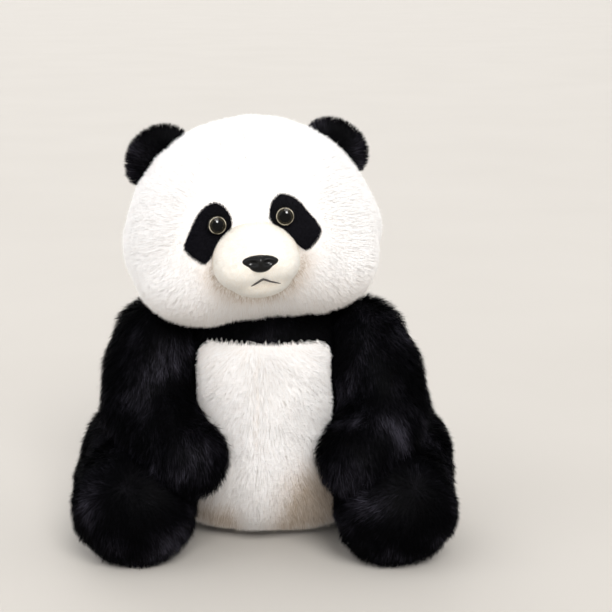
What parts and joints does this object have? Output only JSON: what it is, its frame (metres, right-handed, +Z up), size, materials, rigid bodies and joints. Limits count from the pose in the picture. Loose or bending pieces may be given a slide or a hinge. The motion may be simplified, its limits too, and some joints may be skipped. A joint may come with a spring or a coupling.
{
  "type": "plush panda",
  "caption": "Sitting plush panda with a big white head, black ears and eye patches, short-pile muzzle, black limbs and a white belly; head, ears, arms, legs and tail flex at their seams.",
  "frame": {"origin": "on the ground under the middle of the whole outline, at the height of the flat seat", "axes": "+Z up; the panda faces -Y; its own left side is +X"},
  "size_m": [0.306, 0.208, 0.3404],
  "materials": {
    "white_fur": "long soft white plush pile",
    "black_fur": "long soft black plush pile with a cool sheen",
    "cream_pile": "short dense cream pile",
    "black_pile": "short dense black pile",
    "nose_plastic": "polished black moulding",
    "eye_dome": "polished clear dome over a dark eye",
    "eye_iris": "olive brown iris with a pale rim",
    "washer_plastic": "white moulded washer",
    "dark_thread": "dark embroidery thread",
    "white_thread": "white sewing thread",
    "filling": "white polyester fibre",
    "pellet_cloth": "plain woven bag cloth"
  },
  "bodies": {
    "torso": {"seat_panel": "white_fur", "chest_yoke": "black_fur", "belly_panel_left": "white_fur", "belly_panel_right": "white_fur", "back_yoke_left": "black_fur", "back_yoke_right": "black_fur", "back_panel_left": "white_fur", "back_panel_right": "white_fur", "pellet_bag": "pellet_cloth", "torso_stuffing": "filling", "closing_seam_stitches": "white_thread"},
    "neck": {"neck_stuffing": "filling", "neck_seam_thread": "white_thread"},
    "head": {"head_crown_panel": "white_fur", "face_panel_left": "white_fur", "face_panel_right": "white_fur", "head_back_panel_left": "white_fur", "head_back_panel_right": "white_fur", "head_stuffing": "filling", "muzzle_panel": "cream_pile", "chin_panel": "cream_pile", "nose": "nose_plastic", "nose_lock_washer": "washer_plastic", "mouth_stitch": "dark_thread", "eye_patch_left": "black_pile", "eye_patch_right": "black_pile", "eye_dome_left": "eye_dome", "eye_dome_right": "eye_dome", "eye_iris_left": "eye_iris", "eye_iris_right": "eye_iris", "eye_lock_washer_left": "washer_plastic", "eye_lock_washer_right": "washer_plastic"},
    "tail": {"tail_cover": "white_fur", "tail_stuffing": "filling"},
    "ear_left": {"ear_front_panel_left": "black_fur", "ear_back_panel_left": "black_fur"},
    "arm_left": {"arm_outer_panel_left": "black_fur", "arm_inner_panel_left": "black_fur", "arm_stuffing_left": "filling"},
    "leg_left": {"leg_outer_panel_left": "black_fur", "leg_inner_panel_left": "black_fur", "foot_sole_panel_left": "black_fur", "leg_stuffing_left": "filling"},
    "ear_right": {"ear_front_panel_right": "black_fur", "ear_back_panel_right": "black_fur"},
    "arm_right": {"arm_outer_panel_right": "black_fur", "arm_inner_panel_right": "black_fur", "arm_stuffing_right": "filling"},
    "leg_right": {"leg_outer_panel_right": "black_fur", "leg_inner_panel_right": "black_fur", "foot_sole_panel_right": "black_fur", "leg_stuffing_right": "filling"}
  },
  "joints": [
    {"name": "head_turn", "type": "hinge", "parent": "torso", "child": "neck", "pos_m": [0, 0.02, 0.15], "axis": [0, 0, 1], "range_deg": [-25, 25], "stiffness_Nm_per_rad": 0.5},
    {"name": "head_nod", "type": "hinge", "parent": "neck", "child": "head", "pos_m": [0, 0.02, 0.198], "axis": [1, 0, 0], "range_deg": [-8, 10], "stiffness_Nm_per_rad": 2},
    {"name": "ear_left_fold", "type": "hinge", "parent": "head", "child": "ear_left", "pos_m": [0.0484, 0.02795, 0.3062], "axis": [0.8532, 0.0822, -0.515], "range_deg": [-20, 20], "stiffness_Nm_per_rad": 0.05},
    {"name": "ear_right_fold", "type": "hinge", "parent": "head", "child": "ear_right", "pos_m": [-0.07902, 0.01568, 0.30258], "axis": [0.7038, 0.0678, 0.7071], "range_deg": [-20, 20], "stiffness_Nm_per_rad": 0.05},
    {"name": "arm_left_raise", "type": "hinge", "parent": "torso", "child": "arm_left", "pos_m": [0.076, 0.004, 0.16], "axis": [-1, 0, 0], "range_deg": [0, 40]},
    {"name": "leg_left_splay", "type": "hinge", "parent": "torso", "child": "leg_left", "pos_m": [0.082, 0.046, 0.05], "axis": [0, 0, 1], "range_deg": [0, 20], "stiffness_Nm_per_rad": 0.3},
    {"name": "arm_right_raise", "type": "hinge", "parent": "torso", "child": "arm_right", "pos_m": [-0.088, 0.004, 0.16], "axis": [-1, 0, 0], "range_deg": [0, 40]},
    {"name": "leg_right_splay", "type": "hinge", "parent": "torso", "child": "leg_right", "pos_m": [-0.082, 0.046, 0.05], "axis": [0, 0, -1], "range_deg": [0, 20], "stiffness_Nm_per_rad": 0.3},
    {"name": "tail_flex", "type": "hinge", "parent": "torso", "child": "tail", "pos_m": [0, 0.095, 0.036], "axis": [1, 0, 0], "range_deg": [-10, 10], "stiffness_Nm_per_rad": 0.05}
  ]
}
